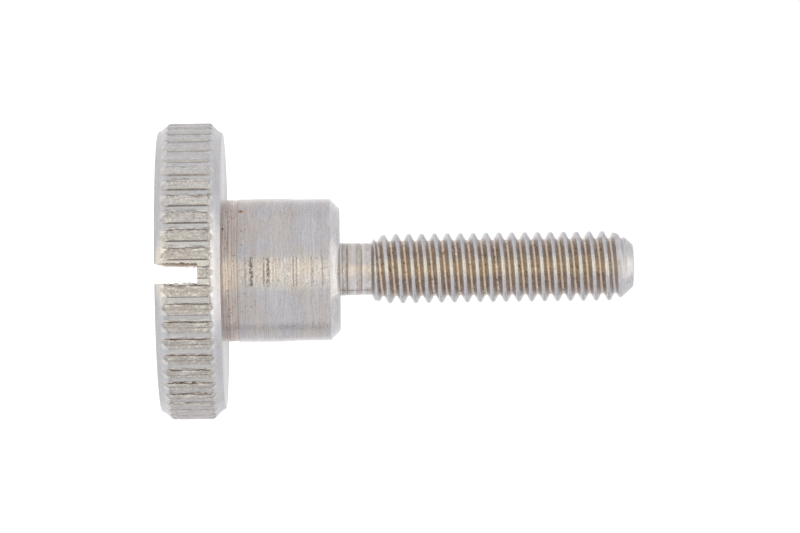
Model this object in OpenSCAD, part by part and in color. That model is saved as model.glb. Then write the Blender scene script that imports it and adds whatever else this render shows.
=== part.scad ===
// Slotted knurled thumb screw, high type: one piece of bar, turned, knurled, slotted and threaded.
// It stands on the slotted face of its head, with +Z along its axis towards the point.

/* [Head] */
// Diameter over the crests of the knurl
head_d = 16.1; // [15.8:0.01:16.4]
// Height of the head from the slotted face to its underside
head_h = 3.5; // [3:0.1:4.5]
// Diameter of the smooth lands, where each meets its chamfer
land_d = 15.3; // [15:0.01:15.5]
// Width of each smooth land along the axis
land_w = 0.27; // [0.1:0.01:0.4]
// How far each land falls towards the axis before it reaches its face
land_fall = 0.18; // [0.05:0.01:0.25]
// Radius of the worn corner at the slotted face
face_round = 0.12; // [0.05:0.01:0.25]
// Width along the axis of the chamfer next to the slotted face
face_chamfer_w = 0.38; // [0.2:0.01:0.6]
// Width along the axis of the chamfer next to the underside
under_chamfer_w = 0.39; // [0.2:0.01:0.6]

/* [Knurl] */
// Number of straight grooves round the head
groove_count = 50; // [30:1:60]
// Depth of a groove below the crests
groove_depth = 0.15; // [0.1:0.01:0.3]
// Width of a groove at its floor
groove_floor_w = 0.3; // [0.2:0.01:0.38]
// Width of a groove at the crests
groove_mouth_w = 0.42; // [0.38:0.01:0.6]

/* [Slot] */
// Width of the screwdriver slot
slot_w = 1.1; // [0.8:0.05:1.6]
// Depth of the slot below the slotted face
slot_depth = 2.3; // [1.5:0.1:2.6]
// How far the slot was sawn to one side of the axis
slot_offset = 0.2; // [0:0.05:0.5]
// Turn of the slot about the axis, in degrees, positive from +X towards +Y
slot_turn = -0.7; // [-5:0.1:5]

/* [Collar] */
// Diameter of the collar under the head
collar_d = 7.72; // [6.5:0.01:9]
// Length of the collar from the underside of the head to its seating face
collar_h = 6.27; // [4:0.01:10]
// Width of the chamfer at the collar's seating face
collar_chamfer_w = 0.52; // [0.1:0.01:0.8]

/* [Neck and shank] */
// Diameter of the undercut neck, which is just under the root of the thread
neck_d = 2.84; // [2.4:0.01:3]
// Length of the neck
neck_h = 1.57; // [1:0.01:3]
// Outer diameter of the thread
thread_d = 3.76; // [3.6:0.01:4]
// Length from the neck to the end of the point
thread_h = 14.4; // [6:0.02:30]
// Width along the axis of the slope where the thread starts at the neck
thread_start_w = 0.5; // [0.2:0.05:0.8]
// Diameter of the end face inside the point's chamfer
point_d = 2.3; // [1.6:0.1:2.6]
// Width of the point's chamfer along the axis
point_chamfer_w = 0.86; // [0.5:0.02:1.2]
// Height of the shallow dome on the end face
point_dome_h = 0.08; // [0.05:0.01:0.2]

/* [Hidden] */

$fn = 96;

head_r = head_d / 2;
land_r = land_d / 2;
face_r = land_r - land_fall;
collar_r = collar_d / 2;
neck_r = neck_d / 2;
thread_r = thread_d / 2;
point_r = point_d / 2;

collar_end_z = head_h + collar_h;
neck_end_z = collar_end_z + neck_h;
tip_z = neck_end_z + thread_h;
dome_base_z = tip_z - point_dome_h;
chamfer_base_z = dome_base_z - point_chamfer_w;

// How far a cutter runs past the surface that it cuts.
clear = 0.5;

// The outlines below give the radius and the height of each corner, from the slotted face up.

function head_outline() = [
    [0, 0],
    [face_r - face_round, 0],
    [face_r, face_round],
    [land_r, land_w],
    [head_r, land_w + face_chamfer_w],
    [head_r, head_h - land_w - under_chamfer_w],
    [land_r, head_h - land_w],
    [face_r, head_h],
];

function collar_outline() = [
    [collar_r, head_h],
    [collar_r, collar_end_z - collar_chamfer_w],
    [collar_r - collar_chamfer_w, collar_end_z],
];

function neck_outline() = [
    [neck_r, collar_end_z],
    [neck_r, neck_end_z],
];

// The shank stays plain at the thread's outer diameter.
function shank_outline() = [
    [thread_r, neck_end_z + thread_start_w],
    [thread_r, chamfer_base_z],
    [point_r, dome_base_z],
    [0, tip_z],
];

// Everything that the lathe makes, in one turned piece.
module turned_blank() {
    rotate_extrude()
        polygon(concat(
            head_outline(),
            collar_outline(),
            neck_outline(),
            shank_outline()
        ));
}

// One straight groove of the knurl, long enough to run out over both lands.
module knurl_groove() {
    translate([head_r - groove_depth, 0, -clear])
        linear_extrude(height = head_h + 2 * clear)
            polygon([
                [0, -groove_floor_w / 2],
                [groove_depth, -groove_mouth_w / 2],
                [groove_depth + clear, -groove_mouth_w / 2],
                [groove_depth + clear, groove_mouth_w / 2],
                [groove_depth, groove_mouth_w / 2],
                [0, groove_floor_w / 2],
            ]);
}

module knurl() {
    for (i = [0 : groove_count - 1])
        rotate([0, 0, i * 360 / groove_count])
            knurl_groove();
}

// The sawn slot runs right across the slotted face.
module driver_slot() {
    rotate([0, 0, slot_turn])
        translate([slot_offset - slot_w / 2, -head_r - clear, -clear])
            cube([slot_w, head_d + 2 * clear, slot_depth + clear]);
}

module thumb_screw() {
    color("silver")
        difference() {
            turned_blank();
            knurl();
            driver_slot();
        }
}

thumb_screw();
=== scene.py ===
# %% [markdown]
# # A slotted, knurled thumb screw
# The real screw is one piece of steel bar. A lathe turns its outline, a wheel with teeth rolls the
# grips into its rim, a saw cuts the slot, and a die cuts the thread.
# This lesson makes the mesh in the same order. Each stage is an open band of faces, the bands are
# then stitched edge to edge into one closed skin, and the slot is cut out of it last.
#
# The packed CAD model is loaded first. Its box is kept, and gives the head's radius and the screw's
# length.

# %% Load the frame
import math

import bmesh
import bpy
from mathutils import Matrix, Vector


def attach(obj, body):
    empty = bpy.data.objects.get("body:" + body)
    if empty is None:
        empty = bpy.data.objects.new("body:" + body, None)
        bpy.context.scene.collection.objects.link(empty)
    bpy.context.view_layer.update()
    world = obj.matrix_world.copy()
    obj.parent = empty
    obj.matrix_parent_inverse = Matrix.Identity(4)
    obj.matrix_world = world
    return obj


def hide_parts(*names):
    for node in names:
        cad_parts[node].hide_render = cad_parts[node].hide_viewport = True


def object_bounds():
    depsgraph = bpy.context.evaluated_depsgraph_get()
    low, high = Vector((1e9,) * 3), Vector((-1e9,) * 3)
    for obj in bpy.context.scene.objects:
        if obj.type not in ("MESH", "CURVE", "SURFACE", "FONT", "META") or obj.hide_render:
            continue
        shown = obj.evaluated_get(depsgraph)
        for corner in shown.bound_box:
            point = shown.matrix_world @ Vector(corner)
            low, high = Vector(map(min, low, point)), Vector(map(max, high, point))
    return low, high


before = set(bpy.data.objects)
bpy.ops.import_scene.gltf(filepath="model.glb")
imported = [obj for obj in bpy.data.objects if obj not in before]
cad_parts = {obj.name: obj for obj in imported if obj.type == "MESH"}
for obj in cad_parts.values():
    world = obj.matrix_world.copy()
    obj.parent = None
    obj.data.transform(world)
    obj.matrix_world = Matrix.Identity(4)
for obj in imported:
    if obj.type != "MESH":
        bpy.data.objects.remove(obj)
cad_low, cad_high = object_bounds()
print("CAD box in mm:", [round(v * 1000, 3) for v in (*cad_low, *cad_high)])

# %% [markdown]
# ## Sizes
# Blender works in metres and a screw is measured in millimetres, so every size below is a number
# times MM. The head's radius and the screw's length are read from the frame, and heights count up
# from the slotted face, which the screw stands on.

# %% Sizes of the screw
MM = 0.001

head_radius = (cad_high.x - cad_low.x) / 2
tip_height = cad_high.z

# The head. Its rim has a smooth land at both ends, and a chamfer between land and teeth.
head_height = 3.5 * MM
land_radius = 7.65 * MM
face_radius = 7.47 * MM
lower_land_radius = 7.72 * MM
lower_face_radius = 7.62 * MM
face_round = 0.12 * MM
land_width = 0.27 * MM
face_chamfer = 0.38 * MM
under_chamfer = 0.39 * MM

# The collar is a little fuller in its middle: height and radius at each bend.
collar_bends = [(4.3 * MM, 3.872 * MM), (5.6 * MM, 3.888 * MM), (6.6 * MM, 3.885 * MM),
                (7.4 * MM, 3.845 * MM), (9.25 * MM, 3.838 * MM)]
collar_end = head_height + 6.27 * MM
collar_chamfer = 0.52 * MM
band_width = 0.78 * MM
band_radius = 3.841 * MM

# The neck tapers a little towards the thread.
neck_radius = 1.44 * MM
neck_end_radius = 1.4 * MM
neck_end = collar_end + 1.72 * MM

# The thread, and the cones that it starts and ends on. A slope is a radius gained for a height.
thread_radius = 1.88 * MM
thread_root = 1.49 * MM
pitch = 0.7 * MM
thread_start_slope = 2.1
start_lead_radius = 1.665 * MM
point_radius = 1.15 * MM
point_height = tip_height - 0.08 * MM
point_slope = 0.91
lead_radius = 1.55 * MM
lead_slope = 0.25

print("head radius", round(head_radius / MM, 3), "mm, length", round(tip_height / MM, 3), "mm")

# %% [markdown]
# ## Short ways to write a node tree
# A Geometry Nodes tree can be drawn by hand in the editor or built by a script. A script is easy to
# read again later if each node takes one line. `Sheet` holds a tree and adds nodes to it: an input
# is either a number, which is typed into the socket, or another node's output, which is linked.

# %% A helper that builds node trees
class Sheet:
    """One node tree, and the short words that fill it."""

    def __init__(self, tree):
        self.tree = tree

    def add(self, kind, inputs=None, output=0, **settings):
        """Adds a node, sets it up, feeds its inputs and gives back one of its outputs."""
        node = self.tree.nodes.new(kind)
        for name, value in settings.items():
            setattr(node, name, value)
        for name, value in (inputs or {}).items():
            self.feed(node.inputs[name], value)
        return node.outputs[output]

    def feed(self, socket, value):
        """Links an output to the socket, or types a value into it."""
        if isinstance(value, bpy.types.NodeSocket):
            self.tree.links.new(value, socket)
        else:
            socket.default_value = value

    def math(self, operation, *values):
        """A Math node. Its values are numbers or outputs."""
        return self.add("ShaderNodeMath", dict(enumerate(values)), operation=operation)

    def whole(self, operation, *values):
        """An Integer Math node, for counting rows and columns."""
        return self.add("FunctionNodeIntegerMath", dict(enumerate(values)), operation=operation)

    def split(self, vector):
        """The three numbers inside a vector."""
        node = self.add("ShaderNodeSeparateXYZ", {0: vector}).node
        return node.outputs[0], node.outputs[1], node.outputs[2]

    def join(self, x, y, z):
        """A vector made of three numbers."""
        return self.add("ShaderNodeCombineXYZ", {0: x, 1: y, 2: z})

    def curve(self, value, points):
        """A Float Curve node that follows straight lines between (x, y) points."""
        out = self.add("ShaderNodeFloatCurve", {"Value": value})
        line = out.node.mapping.curves[0]
        while len(line.points) < len(points):
            line.points.new(0.5, 0.5)
        for point, place in zip(line.points, points):
            point.location = place
            point.handle_type = "VECTOR"
        out.node.mapping.update()
        return out

    def around(self, angle, radius, height):
        """The place at an angle, a radius and a height about the screw's axis."""
        x = self.math("MULTIPLY", radius, self.math("COSINE", angle))
        y = self.math("MULTIPLY", radius, self.math("SINE", angle))
        return self.join(x, y, height)


print("Sheet has the words:", ", ".join(word for word in vars(Sheet) if word[0] != "_"))

# %% [markdown]
# ## A tree for each machine
# Every tree takes a geometry, which is the line that the tool follows, and gives back a skin. The
# group's inputs are the sizes that a maker would set, so the same tree can be used again with other
# numbers. A modifier keeps those inputs under identifiers, not under their names, so `run_tree`
# looks each identifier up. It then evaluates the modifier and keeps the result as a plain mesh.

# %% Start a tree, and run it
merge_distance = 0.0001 * MM


def new_tree(name, sizes):
    """A Geometry Nodes tree with a geometry input, one number input a size, and a material."""
    tree = bpy.data.node_groups.new(name, "GeometryNodeTree")
    face = tree.interface
    face.new_socket("Geometry", in_out="INPUT", socket_type="NodeSocketGeometry")
    for label, kind in sizes.items():
        face.new_socket(label, in_out="INPUT", socket_type="NodeSocket" + kind)
    face.new_socket("Material", in_out="INPUT", socket_type="NodeSocketMaterial")
    face.new_socket("Geometry", in_out="OUTPUT", socket_type="NodeSocketGeometry")
    sheet = Sheet(tree)
    inputs = tree.nodes.new("NodeGroupInput").outputs
    return sheet, inputs


def end_tree(sheet, inputs, geometry):
    """Every tree ends here: instances made real, a finish set, and the result handed out."""
    real = sheet.add("GeometryNodeRealizeInstances", {0: geometry})
    smooth = sheet.add("GeometryNodeSetShadeSmooth", {0: real})
    finished = sheet.add("GeometryNodeSetMaterial", {0: smooth, "Material": inputs["Material"]})
    out = sheet.tree.nodes.new("NodeGroupOutput")
    sheet.tree.links.new(finished, out.inputs[0])
    return sheet.tree


def run_tree(mesh, tree, material, **values):
    """Runs a tree on a mesh and returns what it makes as a new plain mesh."""
    holder = bpy.data.objects.new("blank", mesh)
    bpy.context.scene.collection.objects.link(holder)
    modifier = holder.modifiers.new("tree", "NODES")
    modifier.node_group = tree
    values = {"Material": material, **{k.replace("_", " "): v for k, v in values.items()}}
    for item in tree.interface.items_tree:
        if item.in_out == "INPUT" and item.name in values:
            modifier[item.identifier] = values[item.name]
    ready = holder.evaluated_get(bpy.context.evaluated_depsgraph_get())
    result = bpy.data.meshes.new_from_object(ready)
    bpy.data.objects.remove(holder)
    return result


print("edges closer than", merge_distance / MM, "mm are merged")

# %% [markdown]
# ## Lines for the tools to follow
# A turned shape is known by its outline: the radius at each height. An outline here is a list of
# corners. Where the skin needs more rows than corners, a stretch is divided evenly, because the
# knurl and the tool marks need rows to bend.

# %% Outlines
def stretch(start, end, rows):
    """Evenly spaced points from start up to, but not with, end."""
    steps = [i / rows for i in range(rows)]
    return [tuple(a + (b - a) * t for a, b in zip(start, end)) for t in steps]


def rounded(centre, radius, start_angle, end_angle, rows):
    """Points on an arc, with its end left out."""
    angles = [math.radians(start_angle + (end_angle - start_angle) * i / rows) for i in range(rows)]
    return [(centre[0] + radius * math.cos(a), centre[1] + radius * math.sin(a)) for a in angles]


def outline_mesh(points):
    """A line of vertices at (radius, 0, height), joined by edges."""
    mesh = bpy.data.meshes.new("outline")
    places = [(radius, 0.0, height) for radius, height in points]
    mesh.from_pydata(places, [(i, i + 1) for i in range(len(places) - 1)], [])
    return mesh


print("a line in four rows:", stretch((0, 0), (1, 1), 4))

# %% [markdown]
# ## Turning
# On the lathe the bar spins and the tool follows the outline. The tree does the same with a flat
# grid: each column of the grid is one angle, and each row takes its radius and height from one point
# of the outline. The last column lands on the first, so the two are merged and the skin closes.

# %% The turning tree
def turning_tree():
    """Spins an outline round the axis."""
    sheet, inputs = new_tree("turn_outline", {"Columns": "Int"})
    outline = inputs["Geometry"]
    rows = sheet.add("GeometryNodeAttributeDomainSize", {0: outline})
    columns = inputs["Columns"]
    grid_size = {"Vertices X": sheet.whole("ADD", columns, 1), "Vertices Y": rows}
    grid = sheet.add("GeometryNodeMeshGrid", {"Size X": 1.0, "Size Y": 1.0, **grid_size})
    index = sheet.add("GeometryNodeInputIndex")
    row = sheet.whole("MODULO", index, rows)
    column = sheet.whole("DIVIDE_FLOOR", index, rows)
    place = sheet.add("GeometryNodeInputPosition")
    sample = {"Geometry": outline, "Value": place, "Index": row}
    point = sheet.add("GeometryNodeSampleIndex", sample, data_type="FLOAT_VECTOR")
    radius, _, height = sheet.split(point)
    angle = sheet.math("DIVIDE", sheet.math("MULTIPLY", column, math.tau), columns)
    spun = {"Geometry": grid, "Position": sheet.around(angle, radius, height)}
    skin = sheet.add("GeometryNodeSetPosition", spun)
    closed = sheet.add("GeometryNodeMergeByDistance", {"Geometry": skin, "Distance": merge_distance})
    return end_tree(sheet, inputs, closed)


turn_outline = turning_tree()
print("turning tree has", len(turn_outline.nodes), "nodes")

# %% [markdown]
# ## Rolling the knurl
# A knurling wheel presses the same groove fifty times round the rim, and the metal that it pushes
# aside folds up into a torn lip on one side of each groove. It could be modelled as one tooth and
# fifty copies, but every lip is torn in its own way. So the tree works on the spun rim itself: it
# finds how far round its own tooth each point is, reads the groove's section from a curve, and lets
# noise tear the lip and roughen the crests. Sixteen columns make one tooth.

# %% The knurl's section
tooth_count = 50
tooth_columns = 16
groove_depth = 0.15 * MM
groove_angle = math.radians(0.15)

# The teeth are full between these two heights. Beyond them they narrow and the grooves rise.
run_out_start = head_height - land_width - 0.42 * MM
run_out_end = land_width + 0.5 * MM
narrowing_length = 0.3 * MM
tooth_narrowing = 1.05
filled_share = 0.3

# Where on a tooth it narrows to, on the side of negative x and on the side of positive x.
tooth_middles = (0.78, 0.36)
blend_width = 1.5 * MM

# Height of the skin above the groove's floor, once round a tooth from groove to groove.
tooth_section = [0.0, 0.0, 0.1, 0.06, 0.6, 0.94, 0.84, 0.93, 0.95, 0.80, 0.95, 1.0, 0.98, 0.88,
                 0.02, 0.0, 0.0]
# Where the torn lip wanders sideways, and where the crest is rough.
lip_section = [0.0, 0.0, 0.3, 1.0, 1.0, 1.0, 0.6, 0.2, 0.6, 1.0, 0.6, 0.1, 0.0, 0.0, 0.0, 0.0, 0.0]
rough_section = [0.0, 0.0, 0.1, 0.4, 1.0, 1.0, 1.0, 0.8, 0.8, 1.0, 0.8, 0.8, 0.8, 0.6, 0.0, 0.0, 0.0]


def even_points(heights):
    """Spreads a list of heights evenly from 0 to 1, as points for a curve."""
    last = len(heights) - 1
    return [(i / last, height) for i, height in enumerate(heights)]


print("one tooth every", 360 / tooth_count, "degrees, grooves", groove_depth / MM, "mm deep")

# %% Noise and the burr
def metal_noise(sheet, place, scale, stretch_z=1.0, shift=0.0):
    """Smooth noise from -1 to 1, with a grain of one part in scale of a metre."""
    x, y, height = place
    grain = sheet.join(sheet.math("ADD", x, shift), y, sheet.math("MULTIPLY", height, stretch_z))
    field = sheet.add("ShaderNodeTexNoise", {"Vector": grain, "Scale": scale, "Detail": 2.0})
    return sheet.math("MULTIPLY_ADD", field, 2.0, -1.0)


burr_reach = 0.09 * MM


def slot_burr(sheet, inputs, place):
    """How far the torn burr stands out, along both edges of the slot."""
    x, y, _ = place
    along_x = sheet.math("MULTIPLY", x, sheet.math("COSINE", inputs["Slot Turn"]))
    along_y = sheet.math("MULTIPLY", y, sheet.math("SINE", inputs["Slot Turn"]))
    across = sheet.math("ADD", along_x, along_y)
    off_slot = sheet.math("ABSOLUTE", sheet.math("SUBTRACT", across, inputs["Slot Offset"]))
    half_width = sheet.math("MULTIPLY", inputs["Slot Width"], 0.5)
    from_edge = sheet.math("ABSOLUTE", sheet.math("SUBTRACT", off_slot, half_width))
    near_edge = sheet.math("SUBTRACT", 1.0, sheet.math("DIVIDE", from_edge, burr_reach))
    near_edge = sheet.math("MAXIMUM", near_edge, 0.0)
    torn = sheet.math("MAXIMUM", metal_noise(sheet, place, 5000.0, shift=0.2), 0.0)
    return sheet.math("MULTIPLY", sheet.math("MULTIPLY", near_edge, torn), inputs["Burr"])


print("the saw's burr reaches", round(burr_reach / MM, 2), "mm from the slot's edge")

# %% The knurling tree
corner_blend = 0.11 * MM
crest_waves = 0.03 * MM
rim_depth = 0.12 * MM


def knurling_tree():
    """Presses the grooves into a spun rim and tears their lips."""
    sizes = {"Teeth": "Int", "Crest Radius": "Float", "Depth": "Float", "First Groove": "Float",
             "Tear": "Float", "Roughness": "Float", "Low End": "Float", "High End": "Float",
             "Slot Offset": "Float", "Slot Width": "Float", "Slot Turn": "Float", "Burr": "Float"}
    sheet, inputs = new_tree("roll_knurl", sizes)
    math_node = sheet.math
    place = sheet.split(sheet.add("GeometryNodeInputPosition"))
    x, y, height = place
    squares = [math_node("MULTIPLY", side, side) for side in (x, y)]
    radius = math_node("SQRT", math_node("ADD", *squares))
    angle = math_node("ARCTAN2", y, x)
    tooth_angle = math_node("DIVIDE", math.tau, inputs["Teeth"])
    turned = math_node("DIVIDE", angle, tooth_angle)
    along = math_node("FRACT", math_node("ADD", turned, inputs["Teeth"]))

    # Towards both ends the teeth narrow and the grooves spread, as the wheel leaves them.
    past_low = math_node("SUBTRACT", inputs["Low End"], height)
    past_high = math_node("SUBTRACT", height, inputs["High End"])
    past = math_node("MAXIMUM", math_node("MAXIMUM", past_low, past_high), 0.0)
    narrow = math_node("MULTIPLY_ADD", past, tooth_narrowing / narrowing_length, 1.0)
    sides = {"Value": x, "From Min": -blend_width, "From Max": blend_width}
    towards = {**sides, "To Min": tooth_middles[0], "To Max": tooth_middles[1]}
    middle = sheet.add("ShaderNodeMapRange", towards, interpolation_type="SMOOTHSTEP")
    from_middle = math_node("MULTIPLY", math_node("SUBTRACT", along, middle), narrow)
    along = sheet.add("ShaderNodeClamp", {"Value": math_node("ADD", from_middle, middle)})

    # The section gives the radius, and noise makes the crests rough.
    section = sheet.curve(along, even_points(tooth_section))
    lip = sheet.curve(along, even_points(lip_section))
    rough = sheet.curve(along, even_points(rough_section))
    floor = math_node("SUBTRACT", inputs["Crest Radius"], inputs["Depth"])
    rise = {"Value": past, "From Min": -0.1 * MM, "From Max": narrowing_length, "To Max": filled_share}
    filled = sheet.add("ShaderNodeMapRange", rise, interpolation_type="SMOOTHSTEP")
    pressed = math_node("MULTIPLY_ADD", math_node("MAXIMUM", section, filled), inputs["Depth"], floor)
    fine_wrinkles = metal_noise(sheet, place, 7000.0)
    long_wrinkles = metal_noise(sheet, place, 5200.0, stretch_z=0.22, shift=0.5)
    waves = metal_noise(sheet, place, 2200.0, stretch_z=0.5, shift=0.1)
    wrinkles = math_node("ADD", fine_wrinkles, long_wrinkles)
    grain = math_node("MULTIPLY", wrinkles, math_node("MULTIPLY", rough, inputs["Roughness"]))
    uneven = math_node("MULTIPLY", waves, math_node("MULTIPLY", rough, crest_waves))
    crest = math_node("ADD", pressed, math_node("ADD", grain, uneven))
    rolled = math_node("SMOOTH_MIN", radius, crest, corner_blend)

    # The torn lip wanders to and fro round the rim, less on the side of positive x.
    calm = sheet.add("ShaderNodeMapRange", {**sides, "To Min": 1.0, "To Max": 0.4})
    tear = math_node("MULTIPLY", inputs["Tear"], calm)
    torn = metal_noise(sheet, place, 4500.0, stretch_z=0.7, shift=0.3)
    wander = math_node("MULTIPLY", torn, math_node("MULTIPLY", lip, tear))
    turned_angle = math_node("ADD", angle, math_node("MULTIPLY", wander, tooth_angle))
    turned_angle = math_node("ADD", turned_angle, inputs["First Groove"])
    out = math_node("ADD", rolled, slot_burr(sheet, inputs, place))
    limits = {0: radius, 1: math_node("SUBTRACT", floor, rim_depth)}
    on_rim = sheet.add("FunctionNodeCompare", limits, operation="GREATER_THAN")
    moved = sheet.around(turned_angle, out, height)
    offset = {"Geometry": inputs["Geometry"], "Selection": on_rim, "Position": moved}
    return end_tree(sheet, inputs, sheet.add("GeometryNodeSetPosition", offset))


roll_knurl = knurling_tree()
print("knurling tree has", len(roll_knurl.nodes), "nodes")

# %% [markdown]
# ## Cutting the thread
# The die cuts one groove that winds round the shank. Its section is given once, for a single pitch.
# The tree lays a grid whose rows repeat that section up the shank, and shears it by one pitch in a
# full turn, so that every row runs along the helix and the last column meets the first, one turn
# higher. A right-hand thread climbs as the angle grows.
# Both ends are cones: the thread runs in from the neck, and out over the chamfer of the point. A
# gentler cone before that chamfer lowers the last two crests, as a die's lead does. Rows beyond the
# ends collapse onto one ring, and merging them leaves a clean round edge.

# %% The thread's section
crest_flat = 0.045 * MM
crest_shoulder = 0.085 * MM
shoulder_drop = 0.028 * MM
root_flat = 0.035 * MM
root_shoulder = 0.075 * MM

half_pitch = pitch / 2
flank_top = (thread_radius - 0.07 * MM, 0.115 * MM)
flank_foot = (thread_root + 0.06 * MM, half_pitch - 0.10 * MM)
thread_section = [
    (thread_radius, 0.0),
    (thread_radius, crest_flat),
    (thread_radius - shoulder_drop, crest_shoulder),
    *stretch(flank_top, flank_foot, 2),
    flank_foot,
    (thread_root + 0.02 * MM, half_pitch - root_shoulder),
    (thread_root, half_pitch - root_flat),
]
thread_section += [(r, pitch - h) for r, h in reversed(thread_section[1:])]
print("thread section:", [(round(r / MM, 3), round(h / MM, 3)) for r, h in thread_section])

# %% The threading tree
def threading_tree():
    """Winds a one-pitch section up the shank, between two cones."""
    sizes = {"Columns": "Int", "Pitches": "Int", "Pitch": "Float", "First Crest": "Float",
             "Start": "Float", "Start Radius": "Float", "Start Slope": "Float",
             "End": "Float", "End Radius": "Float", "End Slope": "Float",
             "Start Lead": "Float", "Lead Radius": "Float", "Lead Slope": "Float", "Wear": "Float"}
    sheet, inputs = new_tree("cut_thread", sizes)
    math_node = sheet.math
    section = inputs["Geometry"]
    count = sheet.add("GeometryNodeAttributeDomainSize", {0: section})
    rows = sheet.whole("MULTIPLY", count, inputs["Pitches"])
    columns = inputs["Columns"]
    grid_size = {"Vertices X": sheet.whole("ADD", columns, 1), "Vertices Y": rows}
    grid = sheet.add("GeometryNodeMeshGrid", {"Size X": 1.0, "Size Y": 1.0, **grid_size})
    index = sheet.add("GeometryNodeInputIndex")
    row = sheet.whole("MODULO", index, rows)
    column = sheet.whole("DIVIDE_FLOOR", index, rows)
    sample = {"Geometry": section, "Value": sheet.add("GeometryNodeInputPosition"),
              "Index": sheet.whole("MODULO", row, count)}
    point = sheet.add("GeometryNodeSampleIndex", sample, data_type="FLOAT_VECTOR")
    cut_radius, _, rise = sheet.split(point)
    turn = math_node("DIVIDE", column, columns)
    turns = math_node("ADD", turn, sheet.whole("DIVIDE_FLOOR", row, count))
    climbed = math_node("MULTIPLY_ADD", turns, inputs["Pitch"], rise)
    free_height = math_node("ADD", climbed, inputs["First Crest"])
    height = math_node("MINIMUM", math_node("MAXIMUM", free_height, inputs["Start"]), inputs["End"])
    angle = math_node("MULTIPLY", turn, math.tau)

    rim = sheet.around(angle, cut_radius, height)
    nicks = sheet.add("ShaderNodeTexNoise", {"Vector": rim, "Scale": 3000.0, "Detail": 3.0})
    varied = math_node("MULTIPLY_ADD", math_node("SUBTRACT", nicks, 0.5), inputs["Wear"], cut_radius)
    above_start = math_node("SUBTRACT", height, inputs["Start"])
    start_cone = math_node("MULTIPLY_ADD", above_start, inputs["Start Slope"], inputs["Start Radius"])
    below_end = math_node("SUBTRACT", inputs["End"], height)
    end_cone = math_node("MULTIPLY_ADD", below_end, inputs["End Slope"], inputs["End Radius"])
    lead_cone = math_node("MULTIPLY_ADD", below_end, inputs["Lead Slope"], inputs["Lead Radius"])
    start_lead = math_node("MULTIPLY_ADD", above_start, inputs["Lead Slope"], inputs["Start Lead"])
    start_cones = math_node("MINIMUM", start_cone, start_lead)
    cones = math_node("MINIMUM", start_cones, math_node("MINIMUM", end_cone, lead_cone))
    radius = math_node("MINIMUM", varied, cones)
    wound = {"Geometry": grid, "Position": sheet.around(angle, radius, height)}
    skin = sheet.add("GeometryNodeSetPosition", wound)
    closed = sheet.add("GeometryNodeMergeByDistance", {"Geometry": skin, "Distance": merge_distance})
    return end_tree(sheet, inputs, closed)


cut_thread = threading_tree()
print("threading tree has", len(cut_thread.nodes), "nodes")

# %% [markdown]
# ## The finishes, for now only named
# Each machine leaves its own finish, so each band of the skin gets its own material. They are filled
# in further down.

# %% Name the finishes
finish_names = ["faced_metal", "knurled_metal", "turned_metal", "neck_metal", "thread_metal",
                "sawn_metal"]
finishes = {name: bpy.data.materials.new(name) for name in finish_names}
print("finishes:", ", ".join(finishes))

# %% [markdown]
# ## The bands of the skin
# The rim needs eight hundred columns for its teeth, the collar only a hundred and twenty-eight and
# the thread ninety-six. So the skin is spun in bands, each with the columns that it needs.
# The tool never follows a perfectly straight line: it leaves a slightly different radius in every
# row. A seeded random number gives each row of the collar and of the neck its own small step.

# %% Rows that a tool leaves
import random

tool_marks = random.Random(4)


def turned_rows(start, end, rows, mark):
    """Rows of a turned stretch, each a little off the line by up to one mark."""
    return [(r + mark * tool_marks.uniform(-1, 1), h) for r, h in stretch(start, end, rows)]


def turned_bends(bends, row_height, mark):
    """Rows of a turned stretch that bends at some heights."""
    rows = []
    for (low, low_radius), (high, high_radius) in zip(bends, bends[1:]):
        count = round((high - low) / row_height)
        rows += turned_rows((low_radius, low), (high_radius, high), count, mark)
    return rows


face_outline = [*stretch((0, 0), (6.6 * MM, 0), 6), (6.6 * MM, 0), (7.1 * MM, 0)]
print("the slotted face has", len(face_outline), "rows")

# %% Outline of the rim
lower_land = (lower_face_radius, face_round)
lower_chamfer = (lower_land_radius, land_width)
lower_crest = (head_radius, land_width + face_chamfer)
upper_crest = (head_radius, head_height - land_width - under_chamfer)
upper_chamfer = (land_radius, head_height - land_width)
upper_land = (face_radius, head_height)
rim_outline = [
    *rounded((lower_face_radius - face_round, face_round), face_round, -90, 0, 4),
    *stretch(lower_land, lower_chamfer, 3),
    *stretch(lower_chamfer, lower_crest, 8),
    *stretch(lower_crest, upper_crest, 34),
    *stretch(upper_crest, upper_chamfer, 7),
    *stretch(upper_chamfer, upper_land, 3),
    upper_land,
]
print("the rim has", len(rim_outline), "rows")

# %% Outline of the collar
band_end = head_height + band_width
collar_edge = collar_end - collar_chamfer
collar_end_radius = collar_bends[-1][1]
seat_radius = collar_end_radius - collar_chamfer
seat_inner_radius = 1.75 * MM

# The underside of the head has a shallow step round the collar's foot.
step_radius = 4.75 * MM
sunk_height = head_height - 0.015 * MM
collar_outline = [
    *stretch((face_radius - 0.08 * MM, head_height), (step_radius, head_height), 4),
    (step_radius, head_height),
    *stretch((step_radius - 0.09 * MM, sunk_height), (4.05 * MM, sunk_height), 3),
    (3.95 * MM, head_height - 0.008 * MM),
    (band_radius + 0.02 * MM, head_height + 0.005 * MM),
    *turned_rows((band_radius, head_height + 0.03 * MM), (band_radius, band_end), 16, 0.005 * MM),
    (band_radius - 0.004 * MM, band_end),
    *turned_bends(collar_bends, 0.11 * MM, 0.0015 * MM),
    (collar_end_radius, collar_edge),
    *stretch((collar_end_radius - 0.02 * MM, collar_edge + 0.015 * MM), (seat_radius, collar_end), 3),
    (seat_radius, collar_end - 0.004 * MM),
    (seat_radius - 0.03 * MM, collar_end),
    *stretch((3.0 * MM, collar_end), (seat_inner_radius, collar_end), 3),
    (seat_inner_radius, collar_end),
]
print("the collar has", len(collar_outline), "rows")

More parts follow.
